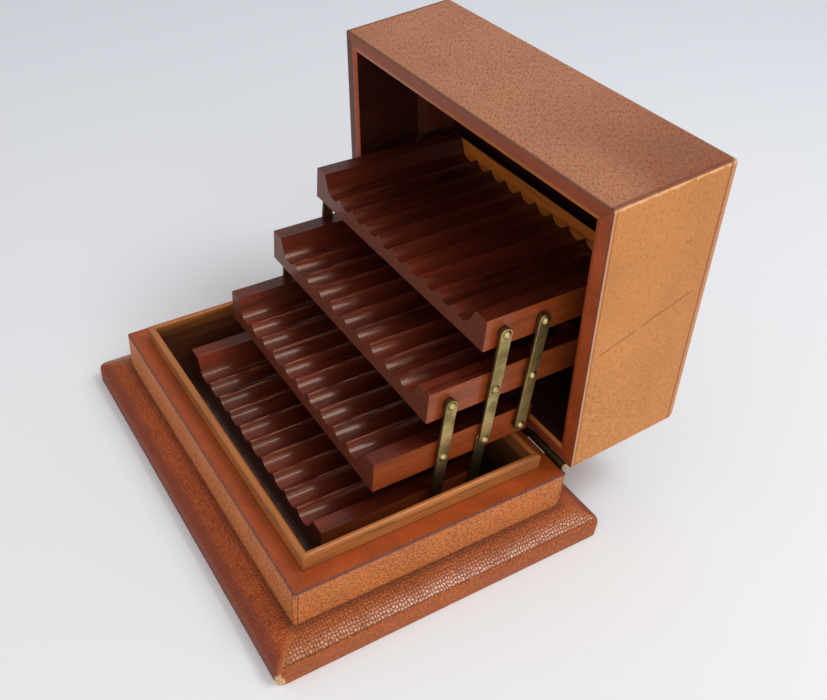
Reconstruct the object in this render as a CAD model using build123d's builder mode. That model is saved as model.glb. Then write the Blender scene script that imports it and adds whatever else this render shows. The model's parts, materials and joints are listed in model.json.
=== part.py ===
from build123d import *
import os
from math import acos, asin, atan2, cos, degrees, hypot, radians, sin

# Table case for cigarettes: a leather-covered box on a sloping foot, with a deep hinged lid
# and four grooved wooden trays that brass links raise one above the other as the lid opens.
# X runs to the right along the front, Y runs to the back, Z runs up. The origin is the middle
# of the underside, and the case is drawn open.

os.makedirs("parts", exist_ok=True)

# Foot: how far it stands out beyond the box, and its heights
plinth_side_ledge = 12.0
plinth_front_ledge = 12.5
plinth_edge = 7.8
plinth_top = 12.2
plinth_swell = 0.7
plinth_rounding = 1.2
plinth_corner = 2.2
plinth_lift = 0.3
felt_inset = 3.0
felt_thickness = 0.8

# Box: the height of its walls above the foot, and the room round the trays inside it
box_wall_height = 17.6
box_corner = 0.4
leather = 0.8
edge_rounding = 0.3
floor_thickness = 2.3
tray_front_room = 12.0
tray_back_room = 14.6

# Wooden liner that stands up inside the rim, and its play in the lid
liner_thickness = 2.8
liner_stand = 7.1
liner_play = 0.4

# Lid: the room above the stacked trays, its walls and the blocks inside its ends
lid_room = 6.6
lid_wall = 7.15
side_block_thickness = 7.8
lid_top_thickness = 3.2
lid_lining_thickness = 0.4
lid_corner = 0.4
lid_rounding = 2.2
mouth_bevel = 1.6
mouth_bevel_depth = 0.6
rim_gap = 0.4
lid_open_angle = 85.0

# One long hinge across the back, its leaves let in under the smooth leather of the rims
hinge_end_gap = 3.0
hinge_barrel_radius = 1.6
hinge_pin_radius = 0.65
hinge_leaf_depth = 6.0
hinge_leaf_thickness = 0.6
hinge_knuckles = 15
hinge_side_gap = 0.1
hinge_screw_spread = 22.0
hinge_screw_count = 7

# Wood screws
screw_head_radius = 1.4
screw_shank_radius = 0.7
screw_length = 4.6
screw_head_depth = 0.7

# Trays
tray_count = 4
tray_height = 13.6
tray_wood_depth = 69.6
strip_thickness = 1.6
strip_chamfer = 1.4
groove_count = 10
groove_pitch = 10.03
groove_depth = 3.2
bar_slope = 2.5
end_bar = 6.5
cusp_drop = 5.0
cusp_rounding = 0.6

# Links and their pivots
stack_gap = 1.27
link_open_angle = 87.7
pivot_height = 6.9
pivot_radius = 1.2
pivot_depth = 5.0
collar_radius = 2.2
collar_length = 1.5
head_radius = 1.8
head_length = 1.0
link_width = 5.0
link_thickness = 1.2
short_link_thickness = 0.9
short_collar_length = 0.2
link_chamfer = 0.2
side_play = 0.1
bore_play = 0.05
hole_play = 0.02

# Distance of the end pivots from the front or the back of the wood that carries them
link_a_front = 8.6
link_b_front = 7.4
link_c_back = 5.4
link_d_back = 2.2

# Stud on the top tray and the slotted plate in the lid that it runs in
stud_back = 9.8
stud_length = 5.7
plate_gap = 4.7
plate_thickness = 1.2
plate_margin = 5.8
plate_corner = 3.0
plate_screw_edge = 3.4
slot_play = 0.3
side_block_depth = 31.0

# Widths from the trays outwards: slotted plates, blocks, lid and foot
tray_width = groove_count * groove_pitch + 2 * (bar_slope + end_bar)
tray_half = tray_width / 2
block_face = tray_half + plate_gap + plate_thickness
lid_inner_width = 2 * (block_face + side_block_thickness)
box_width = lid_inner_width + 2 * lid_wall
liner_width = lid_inner_width - 2 * liner_play
plinth_width = box_width + 2 * plinth_side_ledge

# Depths from the trays outwards
tray_depth = tray_wood_depth + strip_thickness
well_depth = tray_front_room + tray_depth + tray_back_room
liner_depth = well_depth + 2 * liner_thickness
lid_inner_depth = liner_depth + 2 * liner_play
box_depth = lid_inner_depth + 2 * lid_wall
plinth_depth = box_depth + 2 * plinth_front_ledge
tray_front = tray_front_room - well_depth / 2

# The trays step back so that the first and last pivots still have wood round them
tier_setback = (tray_wood_depth - link_b_front - link_d_back) / (tray_count - 1)
stacked_step = tray_height + stack_gap
link_pitch = hypot(tier_setback, stacked_step)

# Seat of each link's lowest pivot, behind the front of the tray that carries it
link_a_seat = link_a_front + 2 * tier_setback
link_b_seat = link_b_front + 2 * tier_setback
link_c_seat = tray_wood_depth - link_c_back
link_d_seat = tray_wood_depth - link_d_back
stud_seat = tray_wood_depth - stud_back

# Heights from the foot upwards
wall_foot = plinth_top - leather
floor_top = wall_foot + floor_thickness
rim_height = plinth_top + box_wall_height
wood_rim = rim_height - leather
liner_top = rim_height + liner_stand

# The lid turns about a pin behind the box, midway between the two rims
hinge_y = box_depth / 2 + hinge_barrel_radius
hinge_z = rim_height + rim_gap / 2
lid_frame = Plane(
    origin=(0, hinge_y, hinge_z),
    x_dir=(1, 0, 0),
    z_dir=(0, sin(radians(lid_open_angle)), cos(radians(lid_open_angle))),
)
lid_side = Plane(origin=lid_frame.origin, x_dir=lid_frame.y_dir, z_dir=lid_frame.x_dir)
lid_middle = -hinge_barrel_radius - box_depth / 2
mouth_level = rim_gap / 2
lid_axis = Axis(origin=lid_frame.origin, direction=lid_frame.z_dir)
hinge_frame = Plane(origin=lid_frame.origin, x_dir=(1, 0, 0), z_dir=(0, 0, 1))
hinge_length = box_width - 2 * hinge_end_gap
leaf_level = mouth_level + leather
leaf_screw_y = -hinge_barrel_radius - hinge_leaf_depth / 2
leaf_room = hinge_length + 2 * hinge_side_gap

# The links turn from nearly upright to the angle that stacks the trays straight
link_closed_angle = degrees(atan2(stacked_step, -tier_setback))
link_turn = link_closed_angle - link_open_angle
link_ratio = link_turn / lid_open_angle
tier_step_y = tier_setback + link_pitch * cos(radians(link_open_angle))
tier_step_z = link_pitch * sin(radians(link_open_angle))
tray_places = [
    (tray_front + tier_step_y * n, floor_top + tier_step_z * n) for n in range(tray_count)
]

# The lid is as high as the stacked trays need
stacked_rise = (tray_count - 1) * stacked_step
ceiling_level = floor_top + stacked_rise + tray_height + lid_room - hinge_z
lid_height = ceiling_level + lid_top_thickness + leather - mouth_level

# Layers outside the tray ends, from the wood outwards
link_face = collar_length + side_play
head_face = link_face + link_thickness + side_play
short_link_face = short_collar_length + side_play
short_head_face = short_link_face + short_link_thickness + side_play

# Domed rivet head: the point halfway along its curve, from the foot of the head outwards
dome_radius = (head_radius ** 2 + head_length ** 2) / (2 * head_length)
dome_turn = asin(head_radius / dome_radius) / 2
dome_middle = (
    head_length - dome_radius + dome_radius * cos(dome_turn),
    dome_radius * sin(dome_turn),
)


def pivot_place(tray, seat):
    front, bottom = tray_places[tray - 1]
    return front + seat, bottom + pivot_height


# Each link: name, first tray, last tray, seat on the first tray, in the inner layer or not
links = [
    ("link_a", 1, 3, link_a_seat, False),
    ("link_b", 2, 4, link_b_seat, False),
    ("link_c", 2, 4, link_c_seat, False),
    ("link_d", 1, 2, link_d_seat, True),
]


def seats_on(tray, wanted_inner):
    found = []
    for name, first, last, seat, inner in links:
        if first <= tray <= last and inner == wanted_inner:
            found.append(round(seat - tier_setback * (tray - first), 6))
    return found


def tray_seats(tray):
    return sorted(set(seats_on(tray, False) + seats_on(tray, True)))


def stud_in_lid(share):
    """Where the stud stands in the lid's own frame when this share of the closing is done."""
    turn = radians(link_open_angle + link_turn * share)
    front = tray_front + (tray_count - 1) * (tier_setback + link_pitch * cos(turn))
    bottom = floor_top + (tray_count - 1) * link_pitch * sin(turn)
    back = front + stud_seat - hinge_y
    up = bottom + pivot_height - hinge_z
    open_now = radians(lid_open_angle * (1 - share))
    return (
        back * cos(open_now) - up * sin(open_now),
        back * sin(open_now) + up * cos(open_now),
    )


def finish(part, name):
    part.label = name
    export_step(part, f"parts/{name}.step")


def make_screw(grow):
    """A countersunk wood screw, or with grow its hole: head at the origin, shank along +Z."""
    tip = screw_length + grow
    with BuildPart() as screw:
        with BuildSketch(Plane.XZ):
            with BuildLine():
                Polyline(
                    (0, 0),
                    (screw_head_radius + grow, 0),
                    (screw_shank_radius + grow, screw_head_depth),
                    (screw_shank_radius + grow, tip - screw_shank_radius),
                    (0, tip),
                    close=True,
                )
            make_face()
        revolve(axis=Axis.Z)
    return screw.part


wood_screw = make_screw(0)
screw_hole = make_screw(hole_play)


def hinge_screw_planes(frame, side):
    """Where the screws of one hinge leaf sit: side is 1 for the lid's leaf, -1 for the box's."""
    middle = (hinge_screw_count - 1) / 2
    planes = []
    for n in range(hinge_screw_count):
        place = ((n - middle) * hinge_screw_spread, leaf_screw_y, side * leaf_level)
        planes.append(
            Plane(
                origin=frame.from_local_coords(place),
                x_dir=frame.x_dir,
                z_dir=frame.z_dir * side,
            )
        )
    return planes


def make_foot(inset, low):
    """The foot from this level up, its padded slope and its edges set in by the inset."""
    width = plinth_width - 2 * inset
    depth = plinth_depth - 2 * inset
    corner = plinth_corner + leather - inset
    edge = plinth_edge - inset
    swell_level = (plinth_edge + plinth_top) / 2 + plinth_swell - inset
    with BuildPart() as foot:
        with BuildSketch(Plane.XY.offset(low)):
            RectangleRounded(width, depth, corner)
        extrude(amount=edge - low)
        with BuildSketch(Plane.XY.offset(edge)):
            RectangleRounded(width, depth, corner)
        with BuildSketch(Plane.XY.offset(swell_level)):
            RectangleRounded((width + box_width) / 2, (depth + box_depth) / 2, (corner + box_corner) / 2)
        with BuildSketch(Plane.XY.offset(plinth_top - inset)):
            RectangleRounded(box_width, box_depth, box_corner)
        loft()
        outer_edges = foot.edges().filter_by_position(Axis.Z, edge, edge)
        fillet(outer_edges, plinth_rounding + leather - inset)
    return foot.part


# Foot: a board with a sloping border, its leather skin and the felt under it
with BuildPart() as plinth_board:
    add(make_foot(leather, felt_thickness))
finish(plinth_board.part, "plinth_board")

with BuildPart() as plinth_leather:
    add(make_foot(0, plinth_lift))
    with BuildSketch(Plane.XY):
        RectangleRounded(plinth_width - 2 * leather, plinth_depth - 2 * leather, plinth_corner)
    extrude(amount=felt_thickness, mode=Mode.SUBTRACT)
    with BuildSketch(Plane.XY.offset(plinth_top - leather)):
        RectangleRounded(box_width, box_depth, box_corner)
    extrude(amount=leather, mode=Mode.SUBTRACT)
    add(plinth_board.part, mode=Mode.SUBTRACT)
finish(plinth_leather.part, "plinth_leather")

with BuildPart() as base_felt:
    with BuildSketch(Plane.XY):
        RectangleRounded(
            plinth_width - 2 * felt_inset,
            plinth_depth - 2 * felt_inset,
            plinth_corner,
        )
    extrude(amount=felt_thickness)
finish(base_felt.part, "base_felt")

# Box: wooden walls, the grained skin outside them and the smooth band on the rim
with BuildPart() as base_carcass:
    with BuildSketch(Plane.XY.offset(wall_foot)):
        RectangleRounded(box_width - 2 * leather, box_depth - 2 * leather, box_corner)
        Rectangle(liner_width, liner_depth, mode=Mode.SUBTRACT)
    extrude(amount=wood_rim - wall_foot)
    with BuildSketch(Plane.XY.offset(wood_rim)):
        with Locations((0, box_depth / 2)):
            Rectangle(leaf_room, 2 * hinge_leaf_depth)
    extrude(amount=-hinge_leaf_thickness, mode=Mode.SUBTRACT)
    with Locations(*hinge_screw_planes(hinge_frame, -1)):
        add(screw_hole, mode=Mode.SUBTRACT)
finish(base_carcass.part, "base_carcass")

with BuildPart() as base_leather:
    with BuildSketch(Plane.XY.offset(wall_foot)):
        RectangleRounded(box_width, box_depth, box_corner + leather)
    extrude(amount=rim_height - wall_foot)
    fillet(base_leather.faces().sort_by(Axis.Z)[-1].edges(), edge_rounding)
    with BuildSketch(Plane.XY.offset(wall_foot)):
        RectangleRounded(box_width - 2 * leather, box_depth - 2 * leather, box_corner)
    extrude(amount=rim_height - wall_foot, mode=Mode.SUBTRACT)
    with BuildSketch(Plane.XY.offset(rim_height)):
        with Locations((0, box_depth / 2)):
            Rectangle(leaf_room, 2 * hinge_leaf_depth)
    extrude(amount=-leather - hinge_leaf_thickness, mode=Mode.SUBTRACT)
finish(base_leather.part, "base_leather")

with BuildPart() as base_rim_band:
    with BuildSketch(Plane.XY.offset(wood_rim)):
        RectangleRounded(box_width - 2 * leather, box_depth - 2 * leather, box_corner)
        Rectangle(liner_width, liner_depth, mode=Mode.SUBTRACT)
    extrude(amount=leather)
finish(base_rim_band.part, "base_rim_band")

with BuildPart() as base_floor:
    with BuildSketch(Plane.XY.offset(wall_foot)):
        Rectangle(liner_width - 2 * liner_thickness, liner_depth - 2 * liner_thickness)
    extrude(amount=floor_top - wall_foot)
finish(base_floor.part, "base_floor")

# Liner: four boards, mitred at the corners, each with a half round crest
liner_boards = [
    ("liner_front", (0, -1, 0), (1, 0, 0), liner_depth / 2, liner_width / 2),
    ("liner_back", (0, 1, 0), (-1, 0, 0), liner_depth / 2, liner_width / 2),
    ("liner_left", (-1, 0, 0), (0, -1, 0), liner_width / 2, liner_depth / 2),
    ("liner_right", (1, 0, 0), (0, 1, 0), liner_width / 2, liner_depth / 2),
]
for name, outward, along, reach, half_length in liner_boards:
    crest_radius = liner_thickness / 2
    with BuildPart() as liner_board:
        with BuildSketch(Plane(origin=(0, 0, 0), x_dir=outward, z_dir=(-along[0], -along[1], 0))):
            with BuildLine():
                Polyline(
                    (reach, liner_top - crest_radius),
                    (reach, wall_foot),
                    (reach - liner_thickness, wall_foot),
                    (reach - liner_thickness, liner_top - crest_radius),
                )
                ThreePointArc(
                    (reach - liner_thickness, liner_top - crest_radius),
                    (reach - crest_radius, liner_top),
                    (reach, liner_top - crest_radius),
                )
            make_face()
        extrude(amount=half_length, both=True)
        for end in (-1, 1):
            mitre = Plane(
                origin=(
                    outward[0] * reach + end * along[0] * half_length,
                    outward[1] * reach + end * along[1] * half_length,
                    0,
                ),
                z_dir=(end * along[0] - outward[0], end * along[1] - outward[1], 0),
            )
            split(bisect_by=mitre, keep=Keep.BOTTOM)
    finish(liner_board.part, name)

# Trays: grooved boards, each with a strip across its back and pivots in its ends
cusp_level = tray_height - cusp_drop
groove_radius = (groove_pitch ** 2 / 4 + groove_depth ** 2) / (2 * groove_depth)
groove_axis_level = cusp_level - groove_depth + groove_radius
bar_edge = tray_half - end_bar


def bar_meets_groove():
    """Where the sloping inner wall of the end bar runs tangent into the outermost groove."""
    last_axis = (groove_count - 1) / 2 * groove_pitch
    across = bar_edge - last_axis
    up = tray_height - groove_axis_level
    turn = atan2(up, across) - acos(groove_radius / hypot(across, up))
    return (
        last_axis + groove_radius * cos(turn),
        groove_axis_level + groove_radius * sin(turn),
    )


def groove_edges():
    """Left and right edge of each groove, from the left."""
    wall_x, wall_z = bar_meets_groove()
    edges = []
    for n in range(groove_count):
        left = ((n - groove_count / 2) * groove_pitch, cusp_level)
        right = ((n + 1 - groove_count / 2) * groove_pitch, cusp_level)
        if n == 0:
            left = (-wall_x, wall_z)
        if n == groove_count - 1:
            right = (wall_x, wall_z)
        edges.append((left, right))
    return edges


for tray, (front, bottom) in enumerate(tray_places, start=1):
    tray_face = Plane(origin=(0, front, bottom), x_dir=(1, 0, 0), z_dir=(0, -1, 0))
    wall_x, wall_z = bar_meets_groove()
    seats = tray_seats(tray)
    if tray == len(tray_places):
        seats = seats + [stud_seat]
    with BuildPart() as tray_board:
        with BuildSketch(tray_face) as tray_profile:
            with BuildLine():
                Polyline(
                    (-wall_x, wall_z),
                    (-bar_edge, tray_height),
                    (-tray_half, tray_height),
                    (-tray_half, 0),
                    (tray_half, 0),
                    (tray_half, tray_height),
                    (bar_edge, tray_height),
                    (wall_x, wall_z),
                )
                for n, (left, right) in enumerate(groove_edges()):
                    axis_x = (n - (groove_count - 1) / 2) * groove_pitch
                    ThreePointArc(left, (axis_x, cusp_level - groove_depth), right)
            make_face()
            cusps = [
                corner
                for corner in tray_profile.vertices()
                if abs(tray_face.to_local_coords(Vector(corner)).Y - cusp_level) < 0.01
            ]
            fillet(cusps, cusp_rounding)
        extrude(amount=-tray_wood_depth)
        for start in (tray_half - pivot_depth - hole_play, -tray_half):
            with BuildSketch(Plane.YZ.offset(start)):
                with Locations(*[(front + seat, bottom + pivot_height) for seat in seats]):
                    Circle(pivot_radius + hole_play)
            extrude(amount=pivot_depth + hole_play, mode=Mode.SUBTRACT)
    finish(tray_board.part, f"tray_{tray}")

    with BuildPart() as tray_strip:
        with BuildSketch(Plane.YZ.offset(-tray_half)):
            with BuildLine():
                Polyline(
                    (front + tray_wood_depth, bottom),
                    (front + tray_depth, bottom),
                    (front + tray_depth, bottom + tray_height - strip_chamfer),
                    (front + tray_depth - strip_chamfer, bottom + tray_height),
                    (front + tray_wood_depth, bottom + tray_height),
                    close=True,
                )
            make_face()
        extrude(amount=tray_width)
    finish(tray_strip.part, f"tray_{tray}_strip")

    with BuildPart() as tray_pivots:
        for seat in tray_seats(tray):
            outer = seat in seats_on(tray, False)
            inner = seat in seats_on(tray, True)
            inside = tray_half - pivot_depth
            steps = [(inside, 0), (inside, pivot_radius), (tray_half, pivot_radius)]
            if inner:
                steps += [
                    (tray_half, collar_radius),
                    (tray_half + short_collar_length, collar_radius),
                    (tray_half + short_collar_length, pivot_radius),
                ]
            if inner and outer:
                steps += [
                    (tray_half + short_head_face, pivot_radius),
                    (tray_half + short_head_face, collar_radius),
                    (tray_half + collar_length, collar_radius),
                    (tray_half + collar_length, pivot_radius),
                ]
            if outer and not inner:
                steps += [
                    (tray_half, collar_radius),
                    (tray_half + collar_length, collar_radius),
                    (tray_half + collar_length, pivot_radius),
                ]
            head_x = tray_half + (head_face if outer else short_head_face)
            steps += [(head_x, pivot_radius), (head_x, head_radius)]
            pivot_y, pivot_z = pivot_place(tray, seat)
            with BuildSketch(Plane(origin=(0, pivot_y, pivot_z), x_dir=(1, 0, 0), z_dir=(0, -1, 0))):
                with BuildLine():
                    Polyline(*steps)
                    ThreePointArc(
                        (head_x, head_radius),
                        (head_x + dome_middle[0], dome_middle[1]),
                        (head_x + head_length, 0),
                    )
                    Line((head_x + head_length, 0), (inside, 0))
                make_face()
            revolve(axis=Axis(origin=(0, pivot_y, pivot_z), direction=(1, 0, 0)))
        mirror(about=Plane.YZ)
    finish(tray_pivots.part, f"tray_{tray}_pivots")

with BuildPart() as tray_4_studs:
    stud_y, stud_z = pivot_place(len(tray_places), stud_seat)
    inside = tray_half - pivot_depth
    tip = tray_half + stud_length
    with BuildSketch(Plane(origin=(0, stud_y, stud_z), x_dir=(1, 0, 0), z_dir=(0, -1, 0))):
        with BuildLine():
            Polyline(
                (inside, 0),
                (inside, pivot_radius),
                (tray_half, pivot_radius),
                (tray_half, collar_radius),
                (tray_half + collar_length, collar_radius),
                (tray_half + collar_length, pivot_radius),
                (tip - pivot_radius / 2, pivot_radius),
                (tip, pivot_radius / 2),
                (tip, 0),
                close=True,
            )
        make_face()
    revolve(axis=Axis(origin=(0, stud_y, stud_z), direction=(1, 0, 0)))
    mirror(about=Plane.YZ)
finish(tray_4_studs.part, "tray_4_studs")

# Links: flat brass bars with round ends, one at each end of the trays
for name, first, last, seat, inner in links:
    thickness = short_link_thickness if inner else link_thickness
    face = tray_half + (short_link_face if inner else link_face)
    pivots = [pivot_place(t, seat - tier_setback * (t - first)) for t in range(first, last + 1)]
    middle = ((pivots[0][0] + pivots[-1][0]) / 2, (pivots[0][1] + pivots[-1][1]) / 2)
    for side, start in (("right", face), ("left", -face - thickness)):
        with BuildPart() as link:
            with BuildSketch(Plane.YZ.offset(start)):
                with Locations(middle):
                    SlotCenterToCenter(link_pitch * (last - first), link_width, link_open_angle)
            extrude(amount=thickness)
            outer_face = link.faces().sort_by(Axis.X)[-1 if side == "right" else 0]
            chamfer(outer_face.edges(), link_chamfer)
            with BuildSketch(Plane.YZ.offset(start)):
                with Locations(*pivots):
                    Circle(pivot_radius + bore_play)
            extrude(amount=thickness, mode=Mode.SUBTRACT)
        finish(link.part, f"{name}_{side}")

# Lid: wooden walls, top board, leather skin, smooth band round the mouth and inner lining
with BuildPart() as lid_walls:
    with BuildSketch(lid_frame.offset(mouth_level + leather)):
        with Locations((0, lid_middle)):
            RectangleRounded(box_width - 2 * leather, box_depth - 2 * leather, lid_corner)
            Rectangle(lid_inner_width, lid_inner_depth, mode=Mode.SUBTRACT)
    extrude(amount=ceiling_level - mouth_level - leather)
    with BuildSketch(lid_frame.offset(leaf_level)):
        with Locations((0, -hinge_barrel_radius)):
            Rectangle(leaf_room, 2 * hinge_leaf_depth)
    extrude(amount=hinge_leaf_thickness, mode=Mode.SUBTRACT)
    with Locations(*hinge_screw_planes(lid_frame, 1)):
        add(screw_hole, mode=Mode.SUBTRACT)
finish(lid_walls.part, "lid_walls")

with BuildPart() as lid_top_board:
    with BuildSketch(lid_frame.offset(ceiling_level)):
        with Locations((0, lid_middle)):
            RectangleRounded(box_width - 2 * leather, box_depth - 2 * leather, lid_corner)
    extrude(amount=lid_top_thickness)
    top_edges = lid_top_board.faces().sort_by(lid_axis)[-1].edges()
    fillet(top_edges, lid_rounding)
finish(lid_top_board.part, "lid_top_board")

with BuildPart() as lid_leather:
    with BuildSketch(lid_frame.offset(mouth_level)):
        with Locations((0, lid_middle)):
            RectangleRounded(box_width, box_depth, lid_corner + leather)
    extrude(amount=lid_height)
    ends = lid_leather.faces().sort_by(lid_axis)
    fillet(ends[-1].edges(), lid_rounding + leather)
    fillet(lid_leather.faces().sort_by(lid_axis)[0].edges(), edge_rounding)
    with BuildSketch(lid_frame.offset(mouth_level)):
        with Locations((0, lid_middle)):
            RectangleRounded(box_width - 2 * leather, box_depth - 2 * leather, lid_corner)
    extrude(amount=ceiling_level - mouth_level, mode=Mode.SUBTRACT)
    add(lid_top_board.part, mode=Mode.SUBTRACT)
    with BuildSketch(lid_frame.offset(mouth_level)):
        with Locations((0, -hinge_barrel_radius)):
            Rectangle(leaf_room, 2 * hinge_leaf_depth)
    extrude(amount=leather + hinge_leaf_thickness, mode=Mode.SUBTRACT)
finish(lid_leather.part, "lid_leather")

with BuildPart() as lid_rim_band:
    with BuildSketch(lid_frame.offset(mouth_level)):
        with Locations((0, lid_middle)):
            RectangleRounded(box_width - 2 * leather, box_depth - 2 * leather, lid_corner)
            Rectangle(lid_inner_width, lid_inner_depth, mode=Mode.SUBTRACT)
    extrude(amount=leather)
    with BuildSketch(lid_frame.offset(mouth_level)):
        with Locations((0, lid_middle)):
            Rectangle(lid_inner_width + 2 * mouth_bevel, lid_inner_depth + 2 * mouth_bevel)
    with BuildSketch(lid_frame.offset(mouth_level + mouth_bevel_depth)):
        with Locations((0, lid_middle)):
            Rectangle(lid_inner_width, lid_inner_depth)
    loft(ruled=True, mode=Mode.SUBTRACT)
finish(lid_rim_band.part, "lid_rim_band")

with BuildPart() as lid_lining:
    with BuildSketch(lid_frame.offset(ceiling_level - lid_lining_thickness)):
        with Locations((0, lid_middle)):
            Rectangle(2 * block_face, lid_inner_depth)
    extrude(amount=lid_lining_thickness)
finish(lid_lining.part, "lid_lining")

# Side blocks and slotted plates that guide the studs of the top tray
slot_start = stud_in_lid(0)
slot_middle = stud_in_lid(0.5)
slot_end = stud_in_lid(1)
slot_path = ThreePointArc(slot_start, slot_middle, slot_end)
plate_low = min(slot_start[1], slot_end[1]) - plate_margin
plate_high = max(slot_middle[1], slot_end[1]) + plate_margin
plate_front = min(slot_start[0], slot_end[0]) - plate_margin
plate_back = max(slot_start[0], slot_end[0]) + plate_margin
plate_screws = [
    (plate_front + plate_screw_edge, plate_high - plate_screw_edge),
    (plate_back - plate_screw_edge, plate_high - plate_screw_edge),
]


def plate_screw_planes(direction):
    """Where the screws of one slotted plate sit: direction is 1 on the right, -1 on the left."""
    planes = []
    for back, up in plate_screws:
        place = lid_side.from_local_coords((back, up, direction * (tray_half + plate_gap)))
        planes.append(Plane(origin=place, x_dir=lid_side.x_dir, z_dir=(direction, 0, 0)))
    return planes


for side, direction in (("right", 1), ("left", -1)):
    low_face = block_face if direction > 0 else -block_face - side_block_thickness
    with BuildPart() as side_block:
        with BuildSketch(lid_side.offset(low_face)):
            with Locations((lid_middle, (mouth_level + side_block_depth + ceiling_level) / 2)):
                Rectangle(lid_inner_depth, ceiling_level - mouth_level - side_block_depth)
        extrude(amount=side_block_thickness)
        with Locations(*plate_screw_planes(direction)):
            add(screw_hole, mode=Mode.SUBTRACT)
    finish(side_block.part, f"lid_side_block_{side}")

    plate_low_face = min(direction * block_face, direction * (block_face - plate_thickness))
    with BuildPart() as slot_plate:
        with BuildSketch(lid_side.offset(plate_low_face)):
            with Locations(((plate_front + plate_back) / 2, (plate_low + plate_high) / 2)):
                RectangleRounded(plate_back - plate_front, plate_high - plate_low, plate_corner)
        extrude(amount=plate_thickness)
        with BuildSketch(lid_side.offset(plate_low_face)):
            SlotArc(slot_path, height=2 * (pivot_radius + slot_play))
        extrude(amount=plate_thickness, mode=Mode.SUBTRACT)
        with Locations(*plate_screw_planes(direction)):
            add(screw_hole, mode=Mode.SUBTRACT)
    finish(slot_plate.part, f"slot_plate_{side}")

with BuildPart() as slot_plate_screws:
    with Locations(*plate_screw_planes(1), *plate_screw_planes(-1)):
        add(wood_screw)
finish(slot_plate_screws.part, "slot_plate_screws")

# Hinge: a leaf let into each rim, knuckles behind the box and a pin through them
knuckle_length = (hinge_length - (hinge_knuckles - 1) * hinge_side_gap) / hinge_knuckles
knuckle_step = knuckle_length + hinge_side_gap


def make_leaf(side, first, pin_play):
    """A leaf in the hinge's own frame: side is the way into its rim, first its first knuckle."""
    level = side * leaf_level
    starts = [-hinge_length / 2 + knuckle_step * n for n in range(first, hinge_knuckles, 2)]
    with BuildPart() as leaf:
        with BuildSketch(Plane.XY.offset(min(level, level + side * hinge_leaf_thickness))):
            with Locations((0, leaf_screw_y)):
                Rectangle(hinge_length, hinge_leaf_depth - 2 * hinge_side_gap)
            tab_depth = hinge_barrel_radius + 2 * hinge_side_gap
            with Locations(*[(start + knuckle_length / 2, -tab_depth / 2) for start in starts]):
                Rectangle(knuckle_length, tab_depth)
        extrude(amount=hinge_leaf_thickness)
        for start in starts:
            with BuildSketch(Plane.YZ.offset(start)):
                Circle(hinge_barrel_radius)
            extrude(amount=knuckle_length)
        with BuildSketch(Plane.YZ):
            Circle(hinge_pin_radius + pin_play)
        extrude(amount=hinge_length, both=True, mode=Mode.SUBTRACT)
        with Locations(*hinge_screw_planes(Plane.XY, side)):
            add(screw_hole, mode=Mode.SUBTRACT)
    return leaf.part


with BuildPart() as hinge_leaves_base:
    with Locations(hinge_frame):
        add(make_leaf(-1, 0, hole_play))
finish(hinge_leaves_base.part, "hinge_leaves_base")

with BuildPart() as hinge_leaves_lid:
    with Locations(lid_frame):
        add(make_leaf(1, 1, bore_play))
finish(hinge_leaves_lid.part, "hinge_leaves_lid")

with BuildPart() as hinge_pins:
    with BuildSketch(Plane(origin=hinge_frame.origin, x_dir=(0, 1, 0), z_dir=(1, 0, 0))):
        Circle(hinge_pin_radius)
    extrude(amount=hinge_length / 2, both=True)
finish(hinge_pins.part, "hinge_pins")

with BuildPart() as hinge_screws_base:
    with Locations(*hinge_screw_planes(hinge_frame, -1)):
        add(wood_screw)
finish(hinge_screws_base.part, "hinge_screws_base")

with BuildPart() as hinge_screws_lid:
    with Locations(*hinge_screw_planes(lid_frame, 1)):
        add(wood_screw)
finish(hinge_screws_lid.part, "hinge_screws_lid")

print("hinge axis y, z:", round(hinge_y, 3), round(hinge_z, 3))
print("link turn and ratio:", round(link_turn, 4), round(link_ratio, 6))
for name, first, last, seat, inner in links:
    places = [pivot_place(t, seat - tier_setback * (t - first)) for t in range(first, last + 1)]
    print(name, [(round(y, 3), round(z, 3)) for y, z in places])
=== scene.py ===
import json
from math import radians

import bpy
from bpy.props import FloatProperty, FloatVectorProperty, PointerProperty
from mathutils import Matrix, Vector


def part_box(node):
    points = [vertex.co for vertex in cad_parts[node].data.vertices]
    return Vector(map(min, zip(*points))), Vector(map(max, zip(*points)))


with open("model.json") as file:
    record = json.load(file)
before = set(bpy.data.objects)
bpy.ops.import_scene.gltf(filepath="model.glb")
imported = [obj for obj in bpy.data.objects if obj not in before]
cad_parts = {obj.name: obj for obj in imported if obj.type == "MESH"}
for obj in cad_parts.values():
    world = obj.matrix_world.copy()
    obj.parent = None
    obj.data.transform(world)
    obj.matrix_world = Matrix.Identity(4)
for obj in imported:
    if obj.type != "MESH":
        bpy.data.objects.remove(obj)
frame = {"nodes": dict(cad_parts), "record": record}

bl_info = {
    "name": "Cigarette case with rising trays",
    "version": (1, 0, 0),
    "blender": (4, 5, 0),
    "location": "View3D > Sidebar > Case",
    "description": "Dresses the leather case, its trays and its brass links, and sets the stage",
    "category": "Object",
}

RECORD = frame["record"]
BRASS = [part["node"] for part in RECORD["subparts"] if part["material_slot"] == "brass"]
LID_HINGE = next(joint for joint in RECORD["behaviour"]["joints"] if joint["name"] == "lid_hinge")
LID_TURN = radians(LID_HINGE["range_deg"][1])
HINGE = Vector(LID_HINGE["pos_m"])
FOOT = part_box("plinth_leather")[1]
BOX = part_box("base_leather")[1]
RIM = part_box("base_rim_band")[1]
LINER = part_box("liner_right")
TRAYS = range(1, 5)


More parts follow.
